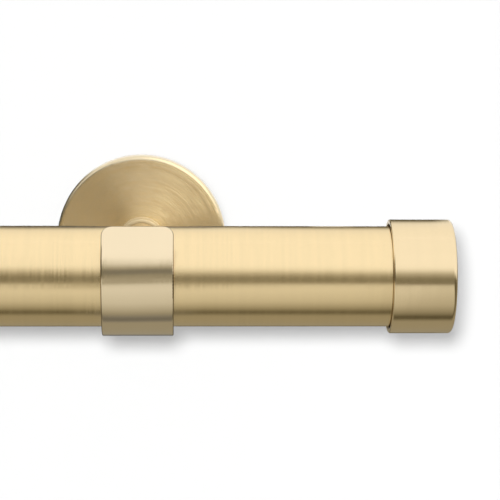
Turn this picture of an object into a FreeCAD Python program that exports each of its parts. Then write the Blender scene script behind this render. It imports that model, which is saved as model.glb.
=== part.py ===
import FreeCAD, Part

import math
import os

# Wall-mounted curtain rod: a plain round tube with a turned cap on each end, lying in two
# open C-shaped cradles. Each cradle stands off the wall on a round stem and a round cover.
# Millimetres. Origin: centre of the right bracket's wall face, level with the rod's axis.
# +X along the rod to the right, +Y into the wall, +Z up.

# Rod
tube_length = 700.0
tube_od = 28.0
tube_wall = 1.0
tube_edge_round = 0.3

# End caps
cap_length = 17.5
cap_wall = 1.4
cap_gap = 0.5
cap_end_thickness = 4.5
cap_edge_round = 1.1
cap_rim_round = 0.45

# Plugs that hold the caps in the tube
plug_length = 15.0
plug_flange_thickness = 1.5
plug_flange_inset = 0.4
plug_wall = 2.2
plug_end_thickness = 3.0
plug_rib_height = 0.6
plug_rib_width = 1.4
plug_rib_count = 8
plug_lead_in = 1.2

# Cap screws
cap_screw_d = 4.0
cap_screw_head_d = 7.6
cap_screw_head_height = 2.4
cap_screw_reach = 3.0

# Bracket positions and reach
bracket_inset = 81.4
projection = 80.0

# Cradle, a bent strap open at the top
cradle_width = 19.8
cradle_thickness = 2.5
cradle_room = 2.0
lip_angle = 48.0
heel_angle = 12.0
lip_corner_round = 3.0
cradle_edge_round = 0.4

# Stem
stem_d = 12.0
stem_edge_round = 0.4
stem_socket_depth = 3.7

# Wall cover
cover_od = 52.8
cover_depth = 5.6
cover_wall = 2.0
cover_face_thickness = 2.2
cover_edge_round = 1.5
cover_back_round = 0.35
hub_od = 14.2
hub_height = 3.4
hub_edge_round = 0.8
hub_foot_round = 0.25
cover_inner_round = 0.5

# Wall disc behind the cover
disc_thickness = 3.1
disc_centre_hole_d = 17.0
disc_hole_d = 4.5
disc_hole_head_d = 9.0
disc_pcd = 33.0
disc_hole_count = 3
disc_edge_round = 0.3

# Screws in the brackets
stem_screw_d = 5.0
stem_screw_head_d = 9.0
stem_screw_head_height = 1.8
stem_screw_reach = 9.0
washer_od = 10.0
washer_thickness = 0.8
cradle_screw_d = 4.0
cradle_screw_head_d = 8.0
cradle_screw_reach = 10.0
cover_grub_d = 3.0
cover_grub_length = 3.0
cover_grub_inset = 0.2
cover_grub_from_wall = 1.6
rod_grub_d = 4.0
rod_grub_inset = 0.1

# Clearances and small standard details
seat_gap = 0.05
thread_gap = 0.05
slide_gap = 0.3
screw_tip_gap = 0.6
socket_share = 0.5
screw_round = 0.3

# How far a cut runs past the face that it opens
overrun = 1.0

# Places worked out from the sizes above
tube_r = tube_od / 2
tube_bore_r = tube_r - tube_wall
rod_y = -projection
tube_right_end = bracket_inset
tube_left_end = tube_right_end - tube_length
middle_x = (tube_left_end + tube_right_end) / 2
cap_floor_x = tube_right_end + plug_flange_thickness
cap_end_x = cap_floor_x + cap_end_thickness
cap_rim_x = cap_end_x - cap_length
cradle_bore_r = tube_r + cradle_room
cradle_outer_r = cradle_bore_r + cradle_thickness
cradle_z = cradle_room - seat_gap
cradle_back_y = rod_y + cradle_bore_r
cover_floor = cover_depth - cover_face_thickness
hub_top = cover_depth + hub_height
stem_tail = hub_top - stem_socket_depth

X_AXIS = FreeCAD.Vector(1, 0, 0)
Y_AXIS = FreeCAD.Vector(0, 1, 0)
Z_AXIS = FreeCAD.Vector(0, 0, 1)
OUTWARD = FreeCAD.Vector(0, -1, 0)


def rounded_outline(corners):
    """Closed wire in the XZ plane through (x, z, rounding) corners, each rounded by its arc."""
    ends = []
    for i, (x, z, rounding) in enumerate(corners):
        corner = FreeCAD.Vector(x, 0, z)
        before = FreeCAD.Vector(corners[i - 1][0], 0, corners[i - 1][1])
        after_x, after_z, _ = corners[(i + 1) % len(corners)]
        after = FreeCAD.Vector(after_x, 0, after_z)
        back = (before - corner).normalize()
        ahead = (after - corner).normalize()
        if rounding == 0:
            ends.append((corner, None, corner))
            continue
        half = back.getAngle(ahead) / 2
        reach = rounding / math.tan(half)
        bisector = (back + ahead).normalize()
        middle = corner + bisector * (rounding / math.sin(half) - rounding)
        ends.append((corner + back * reach, middle, corner + ahead * reach))
    edges = []
    for i, (start, middle, end) in enumerate(ends):
        if middle is not None:
            edges.append(Part.Arc(start, middle, end).toShape())
        following = ends[(i + 1) % len(ends)][0]
        if end.distanceToPoint(following) > 1e-7:
            edges.append(Part.LineSegment(end, following).toShape())
    return Part.Wire(edges)


def turned(corners):
    """Solid of revolution about Z: each corner is (radius, height, rounding)."""
    return Part.Face(rounded_outline(corners)).revolve(FreeCAD.Vector(), Z_AXIS, 360)


def aimed(shape, base, direction):
    """The shape with its own +Z turned to the direction and its origin moved to the base."""
    placed = shape.copy()
    turn = FreeCAD.Rotation(Z_AXIS, direction)
    placed.Placement = FreeCAD.Placement(base, turn)
    return placed


def hex_prism(across_flats, depth):
    """Hexagonal prism from Z = 0 up, for a screw's socket."""
    corner_r = across_flats / math.sqrt(3)
    corners = []
    for i in range(6):
        angle = math.radians(60 * i)
        corners.append((corner_r * math.cos(angle), corner_r * math.sin(angle)))
    points = [FreeCAD.Vector(x, y, 0) for x, y in corners]
    outline = Part.makePolygon(points + points[:1])
    return Part.Face(outline).extrude(FreeCAD.Vector(0, 0, depth))


def headed_screw(shank_d, reach, head_d, head_height):
    """Low cheese-head screw: its head's seat is at Z = 0 and its shank runs down -Z."""
    shank_r = shank_d / 2 - thread_gap
    body = turned([
        (0, -reach, 0),
        (shank_r, -reach, screw_round),
        (shank_r, 0, 0),
        (head_d / 2, 0, 0),
        (head_d / 2, head_height, screw_round),
        (0, head_height, 0),
    ])
    depth = head_height * socket_share
    socket = hex_prism(shank_d * socket_share, depth)
    return body.cut(aimed(socket, FreeCAD.Vector(0, 0, head_height - depth), Z_AXIS))


def countersunk_screw(shank_d, reach, head_d):
    """Countersunk screw: its head's flat top is at Z = 0 and its shank runs down -Z."""
    shank_r = shank_d / 2 - thread_gap
    head_r = head_d / 2 - thread_gap
    cone = head_r - shank_r
    body = turned([
        (0, -reach, 0),
        (shank_r, -reach, screw_round),
        (shank_r, -cone, 0),
        (head_r, 0, 0),
        (0, 0, 0),
    ])
    depth = cone * socket_share
    socket = hex_prism(shank_d * socket_share, depth)
    return body.cut(aimed(socket, FreeCAD.Vector(0, 0, -depth), Z_AXIS))


def grub_screw(diameter, length):
    """Headless screw from Z = 0 up to its length, with its socket at Z = 0."""
    radius = diameter / 2 - thread_gap
    body = turned([
        (0, 0, 0),
        (radius, 0, screw_round),
        (radius, length, screw_round),
        (0, length, 0),
    ])
    return body.cut(hex_prism(diameter * socket_share, length * socket_share))


def make_tube():
    """Plain round tube, square cut and deburred at both ends."""
    body = turned([
        (tube_bore_r, 0, 0),
        (tube_r, 0, tube_edge_round),
        (tube_r, tube_length, tube_edge_round),
        (tube_bore_r, tube_length, 0),
    ])
    return aimed(body, FreeCAD.Vector(tube_left_end, rod_y, 0), X_AXIS)


def make_cap():
    """Turned cup over the tube's right end, tapped in its floor for the plug's screw."""
    bore_r = tube_r + cap_gap
    outer_r = bore_r + cap_wall
    floor_height = cap_length - cap_end_thickness
    body = turned([
        (0, floor_height, 0),
        (bore_r, floor_height, 0),
        (bore_r, 0, cap_rim_round),
        (outer_r, 0, cap_rim_round),
        (outer_r, cap_length, cap_edge_round),
        (0, cap_length, 0),
    ])
    tapped = Part.makeCylinder(
        cap_screw_d / 2, cap_screw_reach + slide_gap, FreeCAD.Vector(0, 0, floor_height))
    return aimed(body.cut(tapped), FreeCAD.Vector(cap_rim_x, rod_y, 0), X_AXIS)


def make_plug():
    """Moulded plug in the tube's right end: a flanged cup with ribs that grip the bore."""
    rib_r = tube_bore_r - seat_gap
    body_r = rib_r - plug_rib_height
    inner_r = body_r - plug_wall
    flange_r = tube_r - plug_flange_inset
    corner_round = plug_wall / 2
    end_height = plug_flange_thickness - plug_end_thickness
    body = turned([
        (0, end_height, 0),
        (inner_r, end_height, corner_round),
        (inner_r, -plug_length, 0),
        (body_r, -plug_length, corner_round),
        (body_r, 0, 0),
        (flange_r, 0, 0),
        (flange_r, plug_flange_thickness, 0),
        (0, plug_flange_thickness, 0),
    ])
    rib_base_r = body_r - corner_round
    rib_side = FreeCAD.Vector(0, -plug_rib_width / 2, 0)
    rib_outline = Part.makePolygon([
        FreeCAD.Vector(rib_base_r, 0, 0) + rib_side,
        FreeCAD.Vector(rib_r, 0, 0) + rib_side,
        FreeCAD.Vector(rib_r, 0, plug_lead_in - plug_length + plug_wall) + rib_side,
        FreeCAD.Vector(rib_base_r, 0, plug_wall - plug_length) + rib_side,
        FreeCAD.Vector(rib_base_r, 0, 0) + rib_side,
    ])
    rib = Part.Face(rib_outline).extrude(FreeCAD.Vector(0, plug_rib_width, 0))
    ribs = []
    for i in range(plug_rib_count):
        turned_rib = rib.copy()
        turned_rib.rotate(FreeCAD.Vector(), Z_AXIS, 360.0 * i / plug_rib_count)
        ribs.append(turned_rib)
    sleeve = Part.makeCylinder(rib_r, plug_length, FreeCAD.Vector(0, 0, -plug_length))
    body = body.fuse([rib.common(sleeve) for rib in ribs]).removeSplitter()
    hole = Part.makeCylinder(
        cap_screw_d / 2 + thread_gap, plug_end_thickness, FreeCAD.Vector(0, 0, end_height))
    return aimed(body.cut(hole), FreeCAD.Vector(tube_right_end, rod_y, 0), X_AXIS)


def make_cap_screw():
    """Screw from inside the plug into the cap's floor."""
    reach = plug_end_thickness + cap_screw_reach
    screw = headed_screw(cap_screw_d, reach, cap_screw_head_d, cap_screw_head_height)
    return aimed(screw, FreeCAD.Vector(cap_floor_x - plug_end_thickness, rod_y, 0), -X_AXIS)


def on_cradle(radius, angle):
    """Point of the cradle's section: the angle is counted up from the side facing the room."""
    turn = math.radians(angle)
    return FreeCAD.Vector(
        -cradle_width / 2,
        rod_y - radius * math.cos(turn),
        cradle_z + radius * math.sin(turn))


def make_cradle():
    """Strap bent to an open C: heel on the stem, round under the rod, lip up in front."""
    heel = -180 - heel_angle
    middle = (lip_angle + heel) / 2
    arcs = []
    for radius in (cradle_outer_r, cradle_bore_r):
        points = [on_cradle(radius, angle) for angle in (lip_angle, middle, heel)]
        arcs.append(Part.Arc(*points).toShape())
    lip_end = Part.LineSegment(
        on_cradle(cradle_outer_r, lip_angle), on_cradle(cradle_bore_r, lip_angle)).toShape()
    heel_end = Part.LineSegment(
        on_cradle(cradle_outer_r, heel), on_cradle(cradle_bore_r, heel)).toShape()
    section = Part.Face(Part.Wire(Part.__sortEdges__(arcs + [lip_end, heel_end])))
    strap = section.extrude(FreeCAD.Vector(cradle_width, 0, 0))

    corners = [e for e in strap.Edges if abs(e.Length - cradle_thickness) < 1e-6]
    strap = strap.makeFillet(lip_corner_round, corners)
    strap = strap.makeFillet(cradle_edge_round, strap.Edges)

    sink_r = cradle_screw_head_d / 2
    hole_r = cradle_screw_d / 2
    sink = turned([
        (0, -cradle_thickness - overrun, 0),
        (hole_r, -cradle_thickness - overrun, 0),
        (hole_r, hole_r - sink_r, 0),
        (sink_r, 0, 0),
        (sink_r, cradle_screw_head_d, 0),
        (0, cradle_screw_head_d, 0),
    ])
    strap = strap.cut(aimed(sink, FreeCAD.Vector(0, cradle_back_y, 0), OUTWARD))
    tapped = Part.makeCylinder(
        rod_grub_d / 2, cradle_thickness + 2 * overrun,
        FreeCAD.Vector(0, rod_y, cradle_z - cradle_outer_r - overrun))
    return strap.cut(tapped)


def make_cradle_screw():
    """Countersunk screw from inside the cradle into the stem."""
    screw = countersunk_screw(cradle_screw_d, cradle_screw_reach, cradle_screw_head_d)
    return aimed(screw, FreeCAD.Vector(0, cradle_back_y, 0), OUTWARD)


def make_rod_grub_screw():
    """Headless screw in the cradle's underside that holds the rod from sliding."""
    bottom = cradle_z - cradle_outer_r + rod_grub_inset
    length = -tube_r - seat_gap - bottom
    return aimed(grub_screw(rod_grub_d, length), FreeCAD.Vector(0, rod_y, bottom), Z_AXIS)


def make_stem():
    """Round bar from the cover's hub to the cradle, with a saddle cut for the cradle."""
    length = projection - stem_tail
    bar = turned([
        (0, 0, 0),
        (stem_d / 2, 0, stem_edge_round),
        (stem_d / 2, length, 0),
        (0, length, 0),
    ])
    bar = aimed(bar, FreeCAD.Vector(0, -stem_tail, 0), OUTWARD)
    saddle = Part.makeCylinder(
        cradle_outer_r + seat_gap, stem_d + 2 * overrun,
        FreeCAD.Vector(-stem_d / 2 - overrun, rod_y, cradle_z), X_AXIS)
    front_depth = cradle_bore_r + cradle_screw_reach + screw_tip_gap
    front_hole = Part.makeCylinder(
        cradle_screw_d / 2, front_depth, FreeCAD.Vector(0, rod_y, 0), Y_AXIS)
    tail_depth = stem_screw_reach - (stem_tail - cover_floor) - washer_thickness
    tail_hole = Part.makeCylinder(
        stem_screw_d / 2, tail_depth + screw_tip_gap, FreeCAD.Vector(0, -stem_tail, 0), OUTWARD)
    return bar.cut([saddle, front_hole, tail_hole])


def make_cover():
    """Turned wall cover: a shallow cup with a hub that the stem stands in."""
    outer_r = cover_od / 2
    hub_r = hub_od / 2
    socket_r = stem_d / 2 + seat_gap
    hole_r = stem_screw_d / 2
    body = turned([
        (hole_r, cover_floor, 0),
        (outer_r - cover_wall, cover_floor, cover_inner_round),
        (outer_r - cover_wall, 0, 0),
        (outer_r, 0, cover_back_round),
        (outer_r, cover_depth, cover_edge_round),
        (hub_r, cover_depth, hub_foot_round),
        (hub_r, hub_top, hub_edge_round),
        (socket_r, hub_top, 0),
        (socket_r, stem_tail, 0),
        (hole_r, stem_tail, 0),
    ])
    body = aimed(body, FreeCAD.Vector(), OUTWARD)
    tapped = Part.makeCylinder(
        cover_grub_d / 2, cover_wall + 2 * overrun,
        FreeCAD.Vector(0, -cover_grub_from_wall, -outer_r - overrun))
    return body.cut(tapped)


def make_cover_grub_screw():
    """Headless screw under the cover's rim, its tip in the wall disc's edge."""
    bottom = -(cover_od / 2 - cover_grub_inset)
    screw = grub_screw(cover_grub_d, cover_grub_length)
    return aimed(screw, FreeCAD.Vector(0, -cover_grub_from_wall, bottom), Z_AXIS)


def make_wall_disc():
    """Disc screwed to the wall: countersunk holes, and a dimple for the cover's screw."""
    outer_r = cover_od / 2 - cover_wall - slide_gap
    body = turned([
        (disc_centre_hole_d / 2, 0, 0),
        (outer_r, 0, disc_edge_round),
        (outer_r, disc_thickness, disc_edge_round),
        (disc_centre_hole_d / 2, disc_thickness, 0),
    ])
    hole_r = disc_hole_d / 2
    sink_r = disc_hole_head_d / 2
    sink = turned([
        (0, -overrun, 0),
        (hole_r, -overrun, 0),
        (hole_r, disc_thickness - (sink_r - hole_r), 0),
        (sink_r, disc_thickness, 0),
        (sink_r, disc_thickness + overrun, 0),
        (0, disc_thickness + overrun, 0),
    ])
    for i in range(disc_hole_count):
        hole = sink.copy()
        hole.translate(FreeCAD.Vector(0, disc_pcd / 2, 0))
        hole.rotate(FreeCAD.Vector(), Z_AXIS, 360.0 * i / disc_hole_count)
        body = body.cut(hole)
    body = aimed(body, FreeCAD.Vector(), OUTWARD)
    tip = cover_od / 2 - cover_grub_inset - cover_grub_length - seat_gap
    dimple = Part.makeCylinder(
        cover_grub_d / 2, cover_od / 2 - tip,
        FreeCAD.Vector(0, -cover_grub_from_wall, -cover_od / 2), Z_AXIS)
    return body.cut(dimple)


def make_stem_screw():
    """Screw from inside the cover into the stem's tail."""
    screw = headed_screw(
        stem_screw_d, stem_screw_reach, stem_screw_head_d, stem_screw_head_height)
    return aimed(screw, FreeCAD.Vector(0, washer_thickness - cover_floor, 0), Y_AXIS)


def make_stem_washer():
    """Plain washer under the stem screw's head."""
    body = turned([
        (stem_screw_d / 2, 0, 0),
        (washer_od / 2, 0, 0),
        (washer_od / 2, washer_thickness, screw_round),
        (stem_screw_d / 2, washer_thickness, 0),
    ])
    return aimed(body, FreeCAD.Vector(0, -cover_floor, 0), Y_AXIS)


def save(name, shape):
    """Write one piece, after a test that it is a single closed solid."""
    solids = shape.Solids
    if len(solids) != 1 or not solids[0].isValid():
        raise ValueError(name + " is not one sound solid")
    solids[0].exportStep(os.path.join("parts", name + ".step"))


def main():
    os.makedirs("parts", exist_ok=True)
    save("rod_tube", make_tube())
    one_side = {
        "end_cap": make_cap(),
        "cap_plug": make_plug(),
        "cap_screw": make_cap_screw(),
        "wall_disc": make_wall_disc(),
        "wall_cover": make_cover(),
        "cover_grub_screw": make_cover_grub_screw(),
        "stem": make_stem(),
        "stem_screw": make_stem_screw(),
        "stem_washer": make_stem_washer(),
        "cradle": make_cradle(),
        "cradle_screw": make_cradle_screw(),
        "rod_grub_screw": make_rod_grub_screw(),
    }
    for name, shape in one_side.items():
        save("right_" + name, shape)
        save("left_" + name, shape.mirror(FreeCAD.Vector(middle_x, 0, 0), X_AXIS))


main()
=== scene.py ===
import math

import bpy
from mathutils import Matrix, Vector


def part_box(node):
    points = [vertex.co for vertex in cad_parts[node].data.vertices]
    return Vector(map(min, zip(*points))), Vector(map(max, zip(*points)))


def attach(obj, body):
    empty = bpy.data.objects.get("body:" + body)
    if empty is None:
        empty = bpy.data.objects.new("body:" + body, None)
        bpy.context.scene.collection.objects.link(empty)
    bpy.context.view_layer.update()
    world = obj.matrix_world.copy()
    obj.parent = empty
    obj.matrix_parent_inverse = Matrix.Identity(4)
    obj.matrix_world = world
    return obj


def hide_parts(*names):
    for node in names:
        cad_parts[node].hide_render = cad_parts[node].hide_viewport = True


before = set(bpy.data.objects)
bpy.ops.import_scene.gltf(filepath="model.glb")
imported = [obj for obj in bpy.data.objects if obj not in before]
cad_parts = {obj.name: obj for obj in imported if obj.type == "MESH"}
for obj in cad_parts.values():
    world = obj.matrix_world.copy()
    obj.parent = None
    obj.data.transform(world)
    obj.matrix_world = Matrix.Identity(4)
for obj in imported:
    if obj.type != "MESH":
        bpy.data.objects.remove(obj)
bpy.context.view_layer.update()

MM = 0.001

# Sizes read from the frame


def span(node):
    """A node's box as two vectors."""
    low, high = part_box(node)
    return Vector(low), Vector(high)


tube_low, tube_high = span("rod_tube")
cap_low, cap_high = span("right_end_cap")
cover_low, cover_high = span("right_wall_cover")

ROD_Y = round((tube_low.y + tube_high.y) / 2, 6)
ROD_Z = round((tube_low.z + tube_high.z) / 2, 6)
TUBE_R = round((tube_high.z - tube_low.z) / 2, 6)
MIDDLE_X = (tube_low.x + tube_high.x) / 2
RIGHT_X = (cover_low.x + cover_high.x) / 2
LEFT_X = 2 * MIDDLE_X - RIGHT_X


# Node trees


class Line:
    """A node's output. Sums on it add their Math nodes to its sheet."""

    def __init__(self, sheet, socket):
        self.sheet = sheet
        self.socket = socket

    def at(self, name):
        """Another output of the same node."""
        return Line(self.sheet, self.socket.node.outputs[name])

    def sum(self, operation, first, second):
        return self.sheet.add("ShaderNodeMath", {"operation": operation}, {0: first, 1: second})

    def __add__(self, other):
        return self.sum("ADD", self, other)

    def __radd__(self, other):
        return self.sum("ADD", other, self)

    def __sub__(self, other):
        return self.sum("SUBTRACT", self, other)

    def __rsub__(self, other):
        return self.sum("SUBTRACT", other, self)

    def __mul__(self, other):
        return self.sum("MULTIPLY", self, other)

    def __rmul__(self, other):
        return self.sum("MULTIPLY", other, self)

    def __truediv__(self, other):
        return self.sum("DIVIDE", self, other)

    def __rtruediv__(self, other):
        return self.sum("DIVIDE", other, self)

    def __pow__(self, other):
        return self.sum("POWER", self, other)

    def __mod__(self, other):
        return self.sum("FLOORED_MODULO", self, other)

    def __gt__(self, other):
        return self.sum("GREATER_THAN", self, other)

    def __lt__(self, other):
        return self.sum("LESS_THAN", self, other)


class Sheet:
    """A node tree under construction, of a material, the world or a geometry tree."""

    def __init__(self, tree):
        self.tree = tree
        tree.nodes.clear()

    def add(self, kind, settings=None, sockets=None):
        """A node: its settings are set first, then its sockets get values or links."""
        node = self.tree.nodes.new(kind)
        for key, value in (settings or {}).items():
            if key == "stops":
                ramp = node.color_ramp
                while len(ramp.elements) < len(value):
                    ramp.elements.new(0.5)
                for stop, (place, level) in zip(ramp.elements, value):
                    stop.position = place
                    stop.color = (level, level, level, 1.0)
            else:
                setattr(node, key, value)
        for key, value in (sockets or {}).items():
            socket = node.inputs[key]
            if isinstance(value, Line):
                self.tree.links.new(value.socket, socket)
            elif socket.type == "RGBA" and len(value) == 3:
                socket.default_value = (*value, 1.0)
            else:
                socket.default_value = value
        if not node.outputs:
            return None
        return Line(self, next(s for s in node.outputs if s.enabled))

    def vector(self, operation, *values):
        """A Vector Math node."""
        line = self.add("ShaderNodeVectorMath", {"operation": operation},
                        dict(enumerate(v for v in values if v is not None)))
        if operation in ("LENGTH", "DOT_PRODUCT", "DISTANCE"):
            return line.at("Value")
        return line

    def absolute(self, value):
        return self.add("ShaderNodeMath", {"operation": "ABSOLUTE"}, {0: value})

    def scaled(self, vector, factor):
        return self.add("ShaderNodeVectorMath", {"operation": "SCALE"},
                        {0: vector, "Scale": factor})

    def joined(self, x, y, z):
        return self.add("ShaderNodeCombineXYZ", None, {0: x, 1: y, 2: z})

    def blend(self, factor, first, second):
        """Colour mix."""
        line = self.add("ShaderNodeMix", {"data_type": "RGBA"})
        node = line.socket.node
        named = {s.identifier: s for s in node.inputs}
        for key, value in (("Factor_Float", factor), ("A_Color", first), ("B_Color", second)):
            if isinstance(value, Line):
                self.tree.links.new(value.socket, named[key])
            elif key == "Factor_Float":
                named[key].default_value = value
            else:
                named[key].default_value = (*value, 1.0)
        return Line(self, next(s for s in node.outputs if s.identifier == "Result_Color"))

    def ease(self, value, start, end, low=0.0, high=1.0):
        """Smooth step of a value from start to end."""
        return self.add("ShaderNodeMapRange", {"interpolation_type": "SMOOTHSTEP"}, {
            "Value": value, "From Min": start, "From Max": end, "To Min": low, "To Max": high})

    def window(self, value, start, full, full_end, end):
        """1 from full to full_end, and 0 before start and after end."""
        return self.ease(value, start, full) * self.ease(value, end, full_end)


def new_material(name):
    material = bpy.data.materials.new(name)
    material.use_nodes = True
    return material, Sheet(material.node_tree)


def noise(sheet, vector, scale, detail=2.0, roughness=0.6):
    return sheet.add("ShaderNodeTexNoise", None, {
        "Vector": vector, "Scale": scale, "Detail": detail, "Roughness": roughness})


# Finishes

# Painted shade: a dark brass for surfaces in recesses and under other pieces
PAINTED_SHADE_BRASS = (0.30, 0.22, 0.12)
# Painted shade: a darker brass for the strap's sides next to the tube
STRAP_SIDE_SHADE = (0.42, 0.33, 0.21)
GRAIN = (0.35, 0.65)
HUB_ROUGHER = 0.38
BORE_ROUGHER = 0.15


def lathe_frame(sheet, axis, centre, paired):
    """Where a point is on a turned piece: place, height, radius, unit vector round the girth.

    A paired piece has a twin at the other bracket, and its centre is the nearer one's."""
    place = sheet.add("ShaderNodeTexCoord").at("Object")
    parts = sheet.add("ShaderNodeSeparateXYZ", None, {0: place})
    x, y, z = parts.at("X"), parts.at("Y"), parts.at("Z")
    if paired:
        x = x - (x < MIDDLE_X) * (LEFT_X - RIGHT_X)
    local = sheet.joined(x - centre[0], y - centre[1], z - centre[2])
    height = sheet.vector("DOT_PRODUCT", local, axis)
    across = sheet.vector("CROSS_PRODUCT", axis, local)
    radius = sheet.vector("LENGTH", across)
    girth = sheet.vector("NORMALIZE", across)
    return place, height, radius, girth


def brass(name, colour, axis, centre=(0, 0, 0), paired=False, roughness=0.2, groove=300.0,
          tilt=0.1, coarse=0.1, tone=0.05, smear=0.04, wear=0.05, slant=0.0, bore=None,
          shade_past=None, hub=None):
    """Lacquered brass brushed in rings round an axis.

    The rings tilt the surface across themselves, by a slant on the whole, and change its
    tone and its roughness. Inside a bore, of a radius, and past the places along X where
    other pieces cover it, the colour is painted darker as shade, and in the bore the metal
    is also rougher. On a piece with a hub, of a radius, the rings are weaker off the flat
    face, and the hub is rougher."""
    material, sheet = new_material(name)
    place, height, radius, girth = lathe_frame(sheet, axis, centre, paired)
    normal = sheet.add("ShaderNodeNewGeometry").at("Normal")
    across = sheet.vector("CROSS_PRODUCT", normal, girth)

    drift = noise(sheet, place, 40.0)
    rings = sheet.joined(height * groove, radius * groove, drift * 0.6)
    fine = noise(sheet, rings, 9.0, 3.0, 0.7)
    broad = noise(sheet, rings, 1.7, 2.0, 0.5)
    cloud = noise(sheet, place, 18.0, 3.0, 0.5)

    fine_even = sheet.ease(fine, *GRAIN) - 0.5
    broad_even = sheet.ease(broad, *GRAIN) - 0.5
    lean = (fine_even * (1 - coarse) + broad_even * coarse) * (2 * tilt)
    if hub:
        facing = sheet.absolute(sheet.vector("DOT_PRODUCT", normal, axis))
        lean = lean * sheet.ease(facing, 0.9, 0.99, 0.5)
    lean = lean - slant
    bent = sheet.vector("ADD", normal, sheet.scaled(across, lean))
    bent = sheet.vector("NORMALIZE", bent)

    dark = tuple(c * (1 - 2 * tone) for c in colour)
    pale = tuple(min(1.0, c * (1 + tone) + 0.02 * tone) for c in colour)
    worn = tuple(c * f for c, f in zip(colour, (0.97, 0.93, 0.86)))
    tint = sheet.blend(fine_even * 0.5 + broad_even * 0.5 + 0.5, dark, pale)
    tint = sheet.blend(sheet.ease(cloud, 0.52, 0.78) * wear * 4, tint, worn)
    rough = roughness + fine_even * smear + broad_even * smear + (cloud - 0.5) * smear
    if hub:
        rough = rough + (radius < hub) * HUB_ROUGHER
    # Painted shade: the tube is darker past the places where the caps cover it
    if shade_past:
        along = sheet.vector("DOT_PRODUCT", place, (1, 0, 0))
        painted_cap_shade = (along < shade_past[0]) + (along > shade_past[1])
        tint = sheet.blend(painted_cap_shade, tint, PAINTED_SHADE_BRASS)
    # Painted shade: the inner faces of the bore are darker; they are also rougher
    if bore:
        radial = sheet.vector("CROSS_PRODUCT", girth, axis)
        inward = sheet.vector("DOT_PRODUCT", normal, radial)
        bore_shade = (radius < bore) * sheet.ease(sheet.absolute(inward), 0.2, 0.6)
        tint = sheet.blend(bore_shade, tint, PAINTED_SHADE_BRASS)
        rough = rough + bore_shade * BORE_ROUGHER

    shader = sheet.add("ShaderNodeBsdfPrincipled", None, {
        "Base Color": tint, "Metallic": 1.0, "Roughness": rough, "Normal": bent})
    sheet.add("ShaderNodeOutputMaterial", None, {"Surface": shader})
    return material


def strap_brass(name, colour, roughness=0.13):
    """Bent strap: smooth satin brass with a slightly wavy face, faint lines and sides painted
    darker as shade.
    """
    material, sheet = new_material(name)
    place, height, radius, girth = lathe_frame(sheet, (1, 0, 0), (0, ROD_Y, ROD_Z), True)
    normal = sheet.add("ShaderNodeNewGeometry").at("Normal")
    lines = noise(sheet, sheet.joined(height * 900.0, radius * 900.0, 0.0), 2.0, 2.0, 0.6)
    swell = noise(sheet, place, 28.0, 1.0, 0.4)
    cloud = noise(sheet, place, 60.0, 3.0, 0.5)
    lean = sheet.scaled((1, 0, 0), (lines - 0.5) * 0.05)
    wave = sheet.scaled(sheet.vector("CROSS_PRODUCT", normal, (1, 0, 0)), (swell - 0.5) * 0.10)
    bent = sheet.vector("NORMALIZE", sheet.vector("ADD", sheet.vector("ADD", normal, lean), wave))
    tint = sheet.blend(sheet.ease(cloud, 0.35, 0.7),
                       tuple(c * 0.985 for c in colour), colour)
    # Painted shade: faces turned sideways, along the rod, are darker
    sideways = sheet.absolute(sheet.vector("DOT_PRODUCT", normal, (1, 0, 0)))
    tint = sheet.blend(sheet.ease(sideways, 0.15, 0.6), tint, STRAP_SIDE_SHADE)
    shader = sheet.add("ShaderNodeBsdfPrincipled", None, {
        "Base Color": tint, "Metallic": 1.0,
        "Roughness": roughness + (lines - 0.5) * 0.05 + (cloud - 0.5) * 0.03, "Normal": bent})
    sheet.add("ShaderNodeOutputMaterial", None, {"Surface": shader})
    return material


def plated_steel(name, colour, roughness=0.3):
    """Zinc-plated steel: cloudy crystal mottling and fine scuffs."""
    material, sheet = new_material(name)
    place = sheet.add("ShaderNodeTexCoord").at("Object")
    cells = sheet.add("ShaderNodeTexVoronoi", {"feature": "F1"}, {
        "Vector": place, "Scale": 420.0, "Randomness": 1.0}).at("Distance")
    scuff = noise(sheet, place, 900.0, 3.0, 0.7)
    cloud = noise(sheet, place, 120.0, 2.0, 0.5)
    tint = sheet.blend(cells * 0.8 + (cloud - 0.5), tuple(c * 1.08 for c in colour),
                       tuple(c * 0.86 for c in colour))
    bump = sheet.add("ShaderNodeBump", None, {
        "Strength": 0.25, "Distance": 0.0001, "Height": scuff})
    shader = sheet.add("ShaderNodeBsdfPrincipled", None, {
        "Base Color": tint, "Metallic": 1.0,
        "Roughness": roughness + (scuff - 0.5) * 0.25 + (cells - 0.4) * 0.1, "Normal": bump})
    sheet.add("ShaderNodeOutputMaterial", None, {"Surface": shader})
    return material


def moulded_plastic(name, colour):
    """Moulded polymer: spark-eroded mould texture and slight flow shading."""
    material, sheet = new_material(name)
    place = sheet.add("ShaderNodeTexCoord").at("Object")
    grain = noise(sheet, place, 1400.0, 2.0, 0.5)
    flow = noise(sheet, place, 90.0, 2.0, 0.5)
    tint = sheet.blend(flow, tuple(c * 0.92 for c in colour), colour)
    bump = sheet.add("ShaderNodeBump", None, {
        "Strength": 0.3, "Distance": 0.0001, "Height": grain})
    shader = sheet.add("ShaderNodeBsdfPrincipled", None, {
        "Base Color": tint, "Roughness": 0.45 + (grain - 0.5) * 0.2, "Normal": bump})
    sheet.add("ShaderNodeOutputMaterial", None, {"Surface": shader})
    return material


ROD_AXIS = (1, 0, 0)
WALL_AXIS = (0, 1, 0)
ROD_CENTRE = (0, ROD_Y, ROD_Z)

# The tube's ends under the caps and the caps' bores get painted shade
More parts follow.
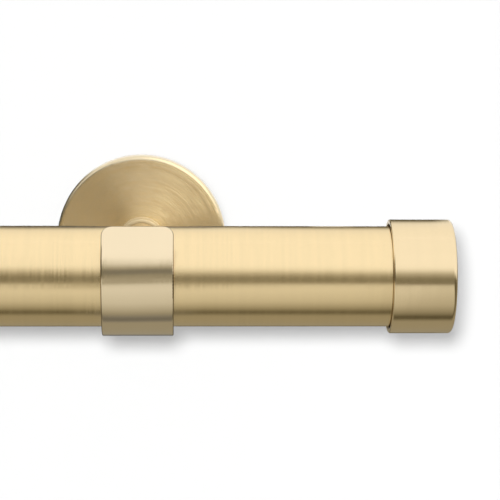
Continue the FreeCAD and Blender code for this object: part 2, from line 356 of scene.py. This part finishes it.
tube_finish = brass("brushed_tube_brass", (0.98, 0.775, 0.455), ROD_AXIS, ROD_CENTRE,
                    roughness=0.22, groove=330.0, tilt=0.03, tone=0.012, smear=0.02, wear=0.01,
                    shade_past=(2 * MIDDLE_X - cap_low.x, cap_low.x))
cap_finish = brass("satin_cap_brass", (0.95, 0.765, 0.48), ROD_AXIS, ROD_CENTRE,
                   roughness=0.17, groove=500.0, tilt=0.02, tone=0.006, wear=0.01, smear=0.01,
                   bore=15.0 * MM)
cover_finish = brass("turned_cover_brass", (0.88, 0.75, 0.52), WALL_AXIS, paired=True,
                     roughness=0.26, groove=6400.0, tilt=0.39, coarse=0.01, tone=0.004,
                     smear=0.006, slant=0.07, hub=7.4 * MM)
stem_finish = brass("satin_stem_brass", (0.90, 0.76, 0.53), WALL_AXIS, paired=True,
                    roughness=0.22, groove=600.0, tilt=0.06, tone=0.015)
strap_finish = strap_brass("smooth_strap_brass", (0.95, 0.795, 0.55))
steel_finish = plated_steel("zinc_plated_steel", (0.62, 0.63, 0.64))
plug_finish = moulded_plastic("moulded_plug_plastic", (0.10, 0.095, 0.09))


# Turned pieces

MERGE = 1e-6
SHARP_ANGLE = math.radians(32)


def turning_tree():
    """Turns an outline of (radius, -, height) points round its own Z and aims it.

    A point's rounding is its corner's radius. A threaded point is cut back along a helix,
    and a hexed point stands on a hexagon instead of a circle."""
    tree = bpy.data.node_groups.new("turned_piece", "GeometryNodeTree")
    for name, kind in (
            ("Outline", "NodeSocketGeometry"), ("Steps round", "NodeSocketInt"),
            ("Corner steps", "NodeSocketInt"), ("Closed", "NodeSocketInt"),
            ("Thread pitch", "NodeSocketFloat"), ("Thread depth", "NodeSocketFloat"),
            ("Base", "NodeSocketVector"), ("Direction", "NodeSocketVector"),
            ("Finish", "NodeSocketMaterial")):
        tree.interface.new_socket(name, in_out="INPUT", socket_type=kind)
    tree.interface.new_socket("Piece", in_out="OUTPUT", socket_type="NodeSocketGeometry")
    sheet = Sheet(tree)
    given = sheet.add("NodeGroupInput")
    steps = given.at("Steps round")

    def marked(name):
        return sheet.add("GeometryNodeInputNamedAttribute", {"data_type": "FLOAT"},
                         {"Name": name})

    outline = sheet.add("GeometryNodeMeshToCurve", None, {"Mesh": given.at("Outline")})
    outline = sheet.add("GeometryNodeFilletCurve", {"mode": "POLY"}, {
        "Curve": outline, "Count": given.at("Corner steps"), "Radius": marked("rounding"),
        "Limit Radius": True})
    outline = sheet.add("GeometryNodeCurveToMesh", None, {"Curve": outline})
    count = sheet.add("GeometryNodeAttributeDomainSize", {"component": "MESH"},
                      {"Geometry": outline}).at("Point Count")
    rows = count + given.at("Closed")
    blank = sheet.add("GeometryNodeMeshGrid", None, {
        "Vertices X": steps + 1, "Vertices Y": rows})
    index = sheet.add("GeometryNodeInputIndex")
    step = sheet.add("ShaderNodeMath", {"operation": "FLOOR"}, {0: (index + 0.5) / rows})
    source = (index - step * rows) % count

    def sampled(kind, value):
        node = sheet.add("GeometryNodeSampleIndex", {"data_type": kind, "domain": "POINT"})
        for name, line in (("Geometry", outline), ("Value", value), ("Index", source)):
            sheet.tree.links.new(line.socket, node.socket.node.inputs[name])
        return Line(sheet, node.socket.node.outputs[0])

    point = sheet.add("ShaderNodeSeparateXYZ", None, {
        0: sampled("FLOAT_VECTOR", sheet.add("GeometryNodeInputPosition"))})
    radius, height = point.at("X"), point.at("Z")
    turn = step / steps
    angle = turn * (2 * math.pi)

    def trig(operation, value):
        return sheet.add("ShaderNodeMath", {"operation": operation}, {0: value})

    sixth = math.pi / 3
    flat = math.cos(sixth / 2) / trig("COSINE", angle % sixth - sixth / 2)
    radius = radius * (1 - sampled("FLOAT", marked("hexed")) * (1 - flat))
    wave = (height / given.at("Thread pitch") - turn) % 1.0
    cut = sheet.absolute(wave * 2 - 1)
    radius = radius - sampled("FLOAT", marked("threaded")) * given.at("Thread depth") * cut
    place = sheet.joined(radius * trig("COSINE", angle), radius * trig("SINE", angle), height)
    aim = sheet.add("FunctionNodeAlignRotationToVector", {"axis": "Z"},
                    {"Vector": given.at("Direction")})
    place = sheet.add("FunctionNodeRotateVector", None, {"Vector": place, "Rotation": aim})
    place = sheet.vector("ADD", place, given.at("Base"))
    piece = sheet.add("GeometryNodeSetPosition", None, {
        "Geometry": blank.at("Mesh"), "Position": place})
    piece = sheet.add("GeometryNodeMergeByDistance", None, {
        "Geometry": piece, "Distance": MERGE})
    piece = sheet.add("GeometryNodeSetShadeSmooth", {"domain": "FACE"}, {
        "Geometry": piece, "Shade Smooth": True})
    bend = sheet.add("GeometryNodeInputMeshEdgeAngle").at("Unsigned Angle")
    piece = sheet.add("GeometryNodeSetShadeSmooth", {"domain": "EDGE"}, {
        "Geometry": piece, "Selection": bend > SHARP_ANGLE, "Shade Smooth": False})
    piece = sheet.add("GeometryNodeRealizeInstances", None, {"Geometry": piece})
    piece = sheet.add("GeometryNodeSetMaterial", None, {
        "Geometry": piece, "Material": given.at("Finish")})
    sheet.add("NodeGroupOutput", None, {"Piece": piece})
    return tree


TURNING = turning_tree()


def set_input(modifier, name, value):
    """A tree's input on a modifier, by its socket's identifier."""
    for item in modifier.node_group.interface.items_tree:
        if item.item_type == "SOCKET" and item.in_out == "INPUT" and item.name == name:
            modifier[item.identifier] = value


def plain_mesh(piece):
    """Turns what the modifiers make into the piece's own mesh, with a single material slot."""
    depsgraph = bpy.context.evaluated_depsgraph_get()
    made = bpy.data.meshes.new_from_object(
        piece.evaluated_get(depsgraph), preserve_all_data_layers=True, depsgraph=depsgraph)
    piece.modifiers.clear()
    piece.data = made
    made.name = piece.name
    finish = next(material for material in made.materials if material)
    made.materials.clear()
    made.materials.append(finish)
    made.polygons.foreach_set("material_index", [0] * len(made.polygons))
    return made


def signed_volume(mesh):
    mesh.calc_loop_triangles()
    total = 0.0
    for triangle in mesh.loop_triangles:
        a, b, c = (mesh.vertices[i].co for i in triangle.vertices)
        total += a.dot(b.cross(c))
    return total / 6


def turned(name, outline, base, direction, finish, closed=False, steps=96, corner_steps=5,
           pitch=1 * MM, depth=0.0):
    """A piece turned from (radius, height, rounding, threaded, hexed) points, in mm."""
    mesh = bpy.data.meshes.new(name)
    count = len(outline)
    edges = [(i, i + 1) for i in range(count - 1)] + ([(count - 1, 0)] if closed else [])
    rows = [tuple(row) + (0,) * (5 - len(row)) for row in outline]
    mesh.from_pydata([(row[0] * MM, 0, row[1] * MM) for row in rows], edges, [])
    for place, (title, scale) in enumerate((("rounding", MM), ("threaded", 1), ("hexed", 1))):
        layer = mesh.attributes.new(title, "FLOAT", "POINT")
        layer.data.foreach_set("value", [row[2 + place] * scale for row in rows])
    piece = bpy.data.objects.new(name, mesh)
    bpy.context.scene.collection.objects.link(piece)
    turning = piece.modifiers.new("turning", "NODES")
    turning.node_group = TURNING
    for title, value in (
            ("Steps round", steps), ("Corner steps", corner_steps), ("Closed", int(closed)),
            ("Thread pitch", pitch), ("Thread depth", depth), ("Base", tuple(base)),
            ("Direction", tuple(direction)), ("Finish", finish)):
        set_input(turning, title, value)
    made = plain_mesh(piece)
    if signed_volume(made) < 0:
        made.flip_normals()
    even = piece.modifiers.new("even_shading", "WEIGHTED_NORMAL")
    even.keep_sharp = True
    plain_mesh(piece)
    return piece


# Sizes of the turned pieces in mm, as in the part's source
TUBE_WALL = 1.0
TUBE_EDGE_ROUND = 0.3
CAP_GAP = 0.5
CAP_RIM_ROUND = 0.45
CAP_EDGE_ROUND = 1.1
CAP_FLOOR = 13.0
CAP_TAPPED_R = 2.0
CAP_TAPPED_DEPTH = 3.3

tube_r = TUBE_R / MM
tube_length = (tube_high.x - tube_low.x) / MM
cap_r = (cap_high.z - cap_low.z) / 2 / MM
cap_length = (cap_high.x - cap_low.x) / MM


def mirrored(place):
    """A place on the left bracket's side that matches one on the right."""
    return Vector((2 * MIDDLE_X - place[0], place[1], place[2]))


def both_sides(title, node, outline, base, direction, finish, **more):
    """The same turned piece at the right and, mirrored, at the left."""
    for side in ("right", "left"):
        aim = Vector(direction)
        place = Vector(base)
        if side == "left":
            place = mirrored(place)
            aim.x = -aim.x
        piece = turned(side + "_" + title, outline, place, aim, finish, **more)
        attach(piece, "root")
        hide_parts(side + "_" + node)


tube = turned("brushed_tube", [
    (tube_r - TUBE_WALL, 0), (tube_r, 0, TUBE_EDGE_ROUND),
    (tube_r, tube_length, TUBE_EDGE_ROUND), (tube_r - TUBE_WALL, tube_length),
], (tube_low.x, ROD_Y, ROD_Z), ROD_AXIS, tube_finish, closed=True, steps=256)
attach(tube, "root")
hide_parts("rod_tube")

cap_bore_r = tube_r + CAP_GAP
both_sides("cap_shell", "end_cap", [
    (0, CAP_FLOOR + CAP_TAPPED_DEPTH), (CAP_TAPPED_R, CAP_FLOOR + CAP_TAPPED_DEPTH),
    (CAP_TAPPED_R, CAP_FLOOR), (cap_bore_r, CAP_FLOOR),
    (cap_bore_r, 0, CAP_RIM_ROUND), (cap_r, 0, CAP_RIM_ROUND),
    (cap_r, cap_length, CAP_EDGE_ROUND), (0, cap_length),
], (cap_low.x, ROD_Y, ROD_Z), ROD_AXIS, cap_finish, steps=256, corner_steps=8)

# Screws

THREAD_SHARE = 0.4
ROWS_PER_TURN = 6
TIP_CHAMFER = 0.4
SOCKET_SHARE = 0.5
SOCKET_CHAMFER = 0.12
SOCKET_MOUTH = 1.12
NECK = 0.1
HEAD_ROUND = 0.3


def thread_rows(radius, start, end, pitch):
    """Outline rows along a threaded length, from start to end."""
    count = max(2, round(abs(end - start) / pitch * ROWS_PER_TURN))
    return [(radius, start + (end - start) * i / count, 0, 1) for i in range(count + 1)]


def socket_rows(across_flats, mouth, floor):
    """Hexagonal socket from its chamfered mouth to its floor."""
    corner = across_flats / math.sqrt(3)
    chamfer = SOCKET_CHAMFER if floor < mouth else -SOCKET_CHAMFER
    return [(corner * SOCKET_MOUTH, mouth), (corner, mouth - chamfer, 0, 0, 1),
            (corner, floor, 0, 0, 1), (0, floor)]


def headed_outline(thread_d, shank_r, reach, head_r, head_height, pitch):
    """Low cheese-head screw: seat at height 0, its shank down to -reach."""
    depth = head_height * SOCKET_SHARE
    return ([(0, -reach), (shank_r - TIP_CHAMFER, -reach)]
            + thread_rows(shank_r, TIP_CHAMFER - reach, -pitch, pitch)
            + [(shank_r - NECK, -pitch / 2), (shank_r - NECK, 0),
               (head_r, 0), (head_r, head_height, HEAD_ROUND)]
            + socket_rows(thread_d * SOCKET_SHARE, head_height, head_height - depth))


def countersunk_outline(thread_d, shank_r, reach, head_r, pitch):
    """Countersunk screw: its flat top at height 0, its shank down to -reach."""
    cone = head_r - shank_r
    return ([(0, -reach), (shank_r - TIP_CHAMFER, -reach)]
            + thread_rows(shank_r, TIP_CHAMFER - reach, -cone - pitch / 2, pitch)
            + [(shank_r, -cone), (head_r, 0)]
            + socket_rows(thread_d * SOCKET_SHARE, 0, -cone * SOCKET_SHARE))


def grub_outline(thread_d, radius, length, pitch):
    """Headless screw from height 0, where its socket is, up to its length."""
    chamfer = TIP_CHAMFER * 0.75
    rows = socket_rows(thread_d * SOCKET_SHARE, 0, length * SOCKET_SHARE)[::-1]
    return (rows + [(radius - chamfer, 0)]
            + thread_rows(radius, chamfer, length - chamfer, pitch)
            + [(radius - chamfer, length), (0, length)])


def half_width(node, axis):
    low, high = span(node)
    return (high[axis] - low[axis]) / 2 / MM


def length_along(node, axis):
    return half_width(node, axis) * 2


X, Y, Z = range(3)
THREAD_GAP = 0.05
M3, M3_PITCH = 3.0, 0.5
M4, M4_PITCH = 4.0, 0.7
M5, M5_PITCH = 5.0, 0.8

CAP_SCREW_HEAD = 2.4
screw_low, screw_high = span("right_cap_screw")
both_sides("threaded_cap_screw", "cap_screw", headed_outline(
    M4, M4 / 2 - THREAD_GAP, length_along("right_cap_screw", X) - CAP_SCREW_HEAD,
    half_width("right_cap_screw", Z), CAP_SCREW_HEAD, M4_PITCH),
    (screw_low.x + CAP_SCREW_HEAD * MM, ROD_Y, ROD_Z), (-1, 0, 0), steel_finish,
    pitch=M4_PITCH * MM, depth=M4_PITCH * THREAD_SHARE * MM)

STEM_SCREW_HEAD = 1.8
screw_low, screw_high = span("right_stem_screw")
both_sides("threaded_stem_screw", "stem_screw", headed_outline(
    M5, M5 / 2 - THREAD_GAP, length_along("right_stem_screw", Y) - STEM_SCREW_HEAD,
    half_width("right_stem_screw", Z), STEM_SCREW_HEAD, M5_PITCH),
    (RIGHT_X, screw_high.y - STEM_SCREW_HEAD * MM, 0), (0, 1, 0), steel_finish,
    pitch=M5_PITCH * MM, depth=M5_PITCH * THREAD_SHARE * MM)

screw_low, screw_high = span("right_cradle_screw")
both_sides("threaded_cradle_screw", "cradle_screw", countersunk_outline(
    M4, M4 / 2 - THREAD_GAP, length_along("right_cradle_screw", Y),
    half_width("right_cradle_screw", Z), M4_PITCH),
    (RIGHT_X, screw_low.y, 0), (0, -1, 0), steel_finish,
    pitch=M4_PITCH * MM, depth=M4_PITCH * THREAD_SHARE * MM)

for node, size, pitch in (("cover_grub_screw", M3, M3_PITCH), ("rod_grub_screw", M4, M4_PITCH)):
    screw_low, screw_high = span("right_" + node)
    both_sides("threaded_" + node, node, grub_outline(
        size, size / 2 - THREAD_GAP, length_along("right_" + node, Z), pitch),
        (RIGHT_X, (screw_low.y + screw_high.y) / 2, screw_low.z), (0, 0, 1), steel_finish,
        pitch=pitch * MM, depth=pitch * THREAD_SHARE * MM)


# Finishes on the frame's own nodes


def dress(node, material):
    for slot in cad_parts[node].material_slots:
        slot.material = material


for side in ("right_", "left_"):
    dress(side + "wall_cover", cover_finish)
    dress(side + "stem", stem_finish)
    dress(side + "cradle", strap_finish)
    dress(side + "cap_plug", plug_finish)
    dress(side + "wall_disc", steel_finish)
    dress(side + "stem_washer", steel_finish)


# Studio

WALL_Y = 0.6 * MM
FLOOR_Z = -95 * MM
STUDIO_HALF = 4.0
WALL_HEIGHT = 3.0
CAMERA_PLACE = Vector((8.4, -659.9, 89.0)) * MM
WALL_TONE = 0.1
# Lamps that light the wall alone: place, size, and the share of its light that they give
SHADOW_LAMP = (CAMERA_PLACE + Vector((-13, 0, 25)) * MM, 47 * MM, 0.6)
SIDE_LAMP = (Vector((RIGHT_X - 0.14, -0.66, 0.05)), 0.26, 0.17)
COVER_LIGHT = (1, 0.93, 0.7)
AMBIENT = 0.6
FLOOR_GLOW = 0.5


def flat_panel(name, corners, material):
    mesh = bpy.data.meshes.new(name)
    mesh.from_pydata(corners, [], [tuple(range(len(corners)))])
    mesh.materials.append(material)
    panel = bpy.data.objects.new(name, mesh)
    bpy.context.scene.collection.objects.link(panel)
    return panel


def seen_directly(sheet):
    """1 for the rays that show a backdrop: camera, mirror and glass."""
    path = sheet.add("ShaderNodeLightPath")
    seen = path.at("Is Camera Ray") + path.at("Is Glossy Ray") + path.at("Is Transmission Ray")
    return sheet.add("ShaderNodeMath", {"operation": "MINIMUM"}, {0: seen, 1: 1.0})


def one_sided(sheet, front):
    """The panel can't be seen from behind, so it hides nothing in a view from there."""
    back = sheet.add("ShaderNodeNewGeometry").at("Backfacing")
    clear = sheet.add("ShaderNodeBsdfTransparent")
    surface = sheet.add("ShaderNodeMixShader", None, {0: back, 1: front, 2: clear})
    sheet.add("ShaderNodeOutputMaterial", None, {"Surface": surface})


def wall_paint():
    """White wall: a steady part, and a part that two lamps light, where the shadows show."""
    material, sheet = new_material("white_wall")
    place = sheet.add("ShaderNodeTexCoord").at("Object")
    level = 1 - WALL_TONE / 2
    for lamp_place, size, share in (SHADOW_LAMP, SIDE_LAMP):
        reach = sheet.vector("DISTANCE", place, tuple(lamp_place))
        depth = WALL_Y - lamp_place.y
        level = level - (depth * depth / (reach * reach)) ** 2.0 * share
    steady = sheet.add("ShaderNodeEmission", None, {
        "Color": (1, 1, 1), "Strength": seen_directly(sheet) * level})
    lit = sheet.add("ShaderNodeBsdfDiffuse", None, {"Color": (WALL_TONE,) * 3})
    one_sided(sheet, sheet.add("ShaderNodeAddShader", None, {0: steady, 1: lit}))
    return material


def floor_paint():
    material, sheet = new_material("pale_floor")
    place = sheet.add("ShaderNodeTexCoord").at("Object")
    tone = sheet.blend(noise(sheet, place, 3.0), (0.78, 0.78, 0.775), (0.80, 0.80, 0.795))
    steady = sheet.add("ShaderNodeEmission", None, {
        "Color": (1, 1, 1), "Strength": seen_directly(sheet) * FLOOR_GLOW})
    lit = sheet.add("ShaderNodeBsdfDiffuse", None, {"Color": tone})
    one_sided(sheet, sheet.add("ShaderNodeAddShader", None, {0: steady, 1: lit}))
    return material


wall = flat_panel("wall", [
    (-STUDIO_HALF, WALL_Y, FLOOR_Z), (STUDIO_HALF, WALL_Y, FLOOR_Z),
    (STUDIO_HALF, WALL_Y, WALL_HEIGHT), (-STUDIO_HALF, WALL_Y, WALL_HEIGHT)], wall_paint())
flat_panel("floor", [
    (-STUDIO_HALF, -STUDIO_HALF, FLOOR_Z), (STUDIO_HALF, -STUDIO_HALF, FLOOR_Z),
    (STUDIO_HALF, STUDIO_HALF, FLOOR_Z), (-STUDIO_HALF, STUDIO_HALF, FLOOR_Z)], floor_paint())


# Greys of the card by the angle round the rod in degrees: 0 level in front, 90 above, 180
# behind and -90 below. The rod's reflection of a grey shows on it at about half the angle.
CARD_START = -190
ABOVE_AND_BEHIND = [
    (94, 1.0), (104, 0.985), (122, 0.93), (134, 0.86), (141, 0.64), (147, 0.3), (154, 0.12),
    (168, 0.09)]
TUBE_GREYS = [
    (-188, 0.08), (-150, 0.15), (-142, 0.22), (-136, 0.32), (-86, 0.32), (-79, 0.11),
    (-73, 0.11), (-68, 0.27), (-59, 0.41), (-48, 0.57), (-38, 0.63), (-20, 0.74), (-9, 0.74),
    (-7.5, 0.18), (4, 0.21), (12, 0.41), (23, 0.96), (30, 1.01)] + ABOVE_AND_BEHIND
STRAP_GREYS = [
    (-188, 0.08), (-150, 0.15), (-142, 0.22), (-136, 0.32), (-89, 0.32), (-83, 0.17),
    (-78, 0.17), (-68, 0.33), (-59, 0.47), (-48, 0.61), (-38, 0.66), (-26, 0.72),
    (-18, 0.68), (-14, 0.37), (-2, 0.36), (3, 0.19), (7, 0.2), (12, 0.5), (19, 0.9),
    (28, 1.0)] + ABOVE_AND_BEHIND
LEFT_GREYS = [
    (-175, 0.2), (-100, 0.3), (-80, 0.3), (-40, 0.5), (-6, 0.5), (-4, 0.08), (40, 0.12),
    (60, 0.9)] + ABOVE_AND_BEHIND
RIGHT_GREYS = [
    (-175, 0.3), (-120, 0.3), (-80, 0.12), (2, 0.12), (10, 0.5), (18, 1.0), (60, 1.05),
    (150, 0.9), (168, 0.8), (174, 0.3)]
RIM_GREYS = [
    (-190, 0.8), (-174.2, 0.9), (-173.4, 0.0), (-169.6, 0.0), (-168.8, 0.3), (-150, 0.3),
    (150, 0.1), (165, 0.6)]
FAR_LEFT_GREY = (0.05, 0.05, 0.05)
BLACK = (0, 0, 0)
WHITE = (1, 1, 1)
FACE_FROM_AXIS = 0.012
CAMERA_TO_FACE = 0.571
WARMTH_GREEN = 1.05
WARMTH_BLUE = 1.24


def strap_window(sheet, x, y, z, turn):
    """Where the strap mirrors the card, and the place along the rod that mirrors a point."""
    reach = sheet.vector("LENGTH", sheet.joined(0, y - ROD_Y, z - ROD_Z))
    spread = (reach - FACE_FROM_AXIS) / CAMERA_TO_FACE
    seen_at = (x + CAMERA_PLACE.x * spread) / (spread + 1)
    in_front = sheet.window(x, -0.055, -0.042, 0.018, 0.03)
    below = sheet.window(seen_at, -0.0118, -0.0102, 0.0102, 0.0118)
    return in_front + (below - in_front) * sheet.ease(turn, -20, -40), seen_at


def graded_card():
    """The studio's grey cards as the metal mirrors them: behind, under and in front of the rod.

    The strap mirrors other greys than the tube, and so does what is far to the left, far to
    the right or close to the wall."""
    material, sheet = new_material("graded_card")
    place = sheet.add("ShaderNodeTexCoord").at("Object")
    parts = sheet.add("ShaderNodeSeparateXYZ", None, {0: place})
    x, y, z = parts.at("X"), parts.at("Y"), parts.at("Z")
    angle = sheet.add("ShaderNodeMath", {"operation": "ARCTAN2"}, {
        0: z - ROD_Z, 1: ROD_Y - y})
    turn = angle * (180 / math.pi)
    share = ((turn - CARD_START) % 360) / 360

    def grades(greys, shift=0.0):
        return sheet.add("ShaderNodeValToRGB", {
            "stops": [((a - CARD_START) / 360, level) for a, level in greys]},
            {0: share + shift / 360})

    in_strap, seen_at = strap_window(sheet, x, y, z, turn)
    lift = sheet.ease(seen_at, 0.05, 0.015, 0, -6) * sheet.ease(turn, -4, 4)
    right = grades(RIGHT_GREYS)
    tone = sheet.blend(in_strap, grades(TUBE_GREYS, lift), grades(STRAP_GREYS, x * -60))
    tone = sheet.blend(sheet.ease(x, -0.22, -0.45), tone, grades(LEFT_GREYS))
    tone = sheet.blend(sheet.ease(x, -0.9, -1.5), tone, FAR_LEFT_GREY)

    # The cap's lower half is a little darker than the tube's
    from_bracket = x - RIGHT_X
    cap_side = sheet.ease(from_bracket + y * 0.12, 0.056, 0.072) * (turn < -9) * (turn > -80)
    tone = sheet.blend(cap_side * 0.18, tone, BLACK)
    tone = sheet.blend(sheet.ease(from_bracket + y * 0.2, 0.1, 0.2), tone, right)

    # On the wall: what lies past the cap, and what the gap between cap and tube mirrors
    on_wall = y > -0.01
    tone = sheet.blend(sheet.ease(from_bracket, 0.092, 0.102) * on_wall, tone, right)
    at_rim = sheet.window(from_bracket, 0.052, 0.056, 0.064, 0.068)
    behind = (turn > 150) + (turn < -150)
    tone = sheet.blend(at_rim * on_wall * behind, tone, grades(RIM_GREYS))

    # A cover's rim mirrors a pale wall close to it on its lit side
    near = sheet.ease(sheet.add("ShaderNodeLightPath").at("Ray Length"), 0.04, 0.02)
    lit_side = sheet.ease(from_bracket + z * 0.5, -0.016, 0.0)
    tone = sheet.blend(near * lit_side, tone, WHITE)

    # Dark greys are warmer than pale ones, less so in the strap
    level = sheet.add("ShaderNodeSeparateColor", None, {0: tone}).at("Red")
    greyer = in_strap * sheet.ease(level, 0.35, 0.2, 0, 0.18)
    tone = sheet.add("ShaderNodeCombineColor", None, {
        0: level, 1: level ** (WARMTH_GREEN - greyer * 0.2), 2: level ** (WARMTH_BLUE - greyer)})
    one_sided(sheet, sheet.add("ShaderNodeEmission", None, {"Color": tone}))
    return material


CARD_SIDE = 3.0
CARD_FRONT_Y = -1.0
CARD_TOP = 1.2
card_section = [
    (WALL_Y / 2, CARD_TOP), (WALL_Y / 2, FLOOR_Z + 1 * MM),
    (CARD_FRONT_Y, FLOOR_Z + 1 * MM), (CARD_FRONT_Y, CARD_TOP)]
mesh = bpy.data.meshes.new("card")
mesh.from_pydata(
    [(x, y, z) for y, z in card_section for x in (-CARD_SIDE, CARD_SIDE)], [],
    [(0, 2, 3, 1), (2, 4, 5, 3), (4, 6, 7, 5)])
mesh.materials.append(graded_card())
card = bpy.data.objects.new("card", mesh)
bpy.context.scene.collection.objects.link(card)

FLAG_X = -0.75
FLAG_TOP = 0.5


def flag_paint():
    """Dark flag past the rod's left end, which pieces close to it see as a pale one."""
    material, sheet = new_material("flag_black")
    place = sheet.add("ShaderNodeTexCoord").at("Object")
    height = sheet.add("ShaderNodeSeparateXYZ", None, {0: place}).at("Z")
    dark = sheet.ease(height, 0.1, FLAG_TOP, 0.07, 0.6)
    reach = sheet.add("ShaderNodeLightPath").at("Ray Length")
    glow = sheet.add("ShaderNodeEmission", None, {
        "Color": (1, 0.96, 0.86), "Strength": dark + sheet.ease(reach, 0.65, 0.4, 0.0, 0.6)})
    one_sided(sheet, glow)
    return material


flag = flat_panel("left_flag", [
    (FLAG_X, CARD_FRONT_Y, FLOOR_Z), (FLAG_X, 0, FLOOR_Z),
    (FLAG_X, 0, FLAG_TOP), (FLAG_X, CARD_FRONT_Y, FLAG_TOP)], flag_paint())
for reflected in (card, flag):
    reflected.visible_camera = False
    reflected.visible_diffuse = False
    reflected.visible_shadow = False
    reflected.visible_transmission = False

world = bpy.data.worlds.new("studio_light")
bpy.context.scene.world = world
world.use_nodes = True
sheet = Sheet(world.node_tree)
sky = sheet.add("ShaderNodeBackground", None, {
    "Color": (1, 1, 1), "Strength": AMBIENT + seen_directly(sheet) * (1 - AMBIENT)})
sheet.add("ShaderNodeOutputWorld", None, {"Surface": sky})


def lamp(name, place, target, size, watts, shape="DISK", mirrored_in_metal=False,
         colour=(1, 1, 1)):
    """Area lamp at a place that faces a target."""
    light = bpy.data.lights.new(name, "AREA")
    light.shape = shape
    light.size = size
    light.energy = watts
    light.color = colour
    holder = bpy.data.objects.new(name, light)
    holder.location = place
    holder.rotation_euler = (Vector(target) - Vector(place)).to_track_quat("-Z", "Y").to_euler()
    holder.visible_glossy = mirrored_in_metal
    holder.visible_camera = False
    bpy.context.scene.collection.objects.link(holder)
    return holder


def group(name, members):
    """Collection of the objects that a lamp lights, or that cast its shadows."""
    made = bpy.data.collections.new(name)
    for member in members:
        made.objects.link(member)
    return made


only_wall = group("lit_by_wall_lamps", [wall])
only_covers = group("lit_by_cover_lamps", [
    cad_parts[side + "wall_cover"] for side in ("right_", "left_")])


def wall_lamp(name, place, size, share):
    """Disk lamp square to the wall that gives a share of the wall's light in front of it."""
    depth = WALL_Y - place.y
    holder = lamp(name, place, place + Vector((0, 1, 0)), size,
                  math.pi ** 2 * depth ** 2 * share / WALL_TONE)
    holder.light_linking.receiver_collection = only_wall
    return holder


wall_lamp("shadow_lamp", *SHADOW_LAMP)
lamp("overhead_lamp", (MIDDLE_X, -0.9, 2.0), (MIDDLE_X, -0.1, 0), 1.6, 8.0, "SQUARE")
for name, place, size, watts in (
        ("face_lamp", (0.46, -0.9, 0.2), 0.8, 1.35), ("rim_lamp", (0.5, -0.35, 0.8), 1.0, 1.6)):
    holder = lamp(name, place, (0, 0, 0), size, watts, mirrored_in_metal=True,
                  colour=COVER_LIGHT)
    holder.light_linking.receiver_collection = only_covers
wall_lamp("side_lamp", *SIDE_LAMP).light_linking.blocker_collection = only_covers

# Camera

YAW = math.radians(2.246)
PITCH = math.radians(8.004)
ROLL = math.radians(0.377)
FOCAL_PIXELS = 2104
FRAME_PIXELS = 500
SENSOR = 36.0

forward = Vector((
    math.sin(YAW) * math.cos(PITCH), math.cos(YAW) * math.cos(PITCH), -math.sin(PITCH)))
level = Vector((math.cos(YAW), -math.sin(YAW), 0))
upward = level.cross(forward)
sideways = level * math.cos(ROLL) + upward * math.sin(ROLL)
upward = sideways.cross(forward)

lens = bpy.data.cameras.new("camera")
lens.sensor_width = SENSOR
lens.lens = SENSOR * FOCAL_PIXELS / FRAME_PIXELS
lens.clip_start = 0.01
lens.clip_end = 50.0
camera = bpy.data.objects.new("camera", lens)
camera.matrix_world = Matrix((
    (sideways.x, upward.x, -forward.x, CAMERA_PLACE.x),
    (sideways.y, upward.y, -forward.y, CAMERA_PLACE.y),
    (sideways.z, upward.z, -forward.z, CAMERA_PLACE.z),
    (0, 0, 0, 1)))
bpy.context.scene.collection.objects.link(camera)
bpy.context.scene.camera = camera
bpy.context.scene.view_settings.view_transform = "Standard"
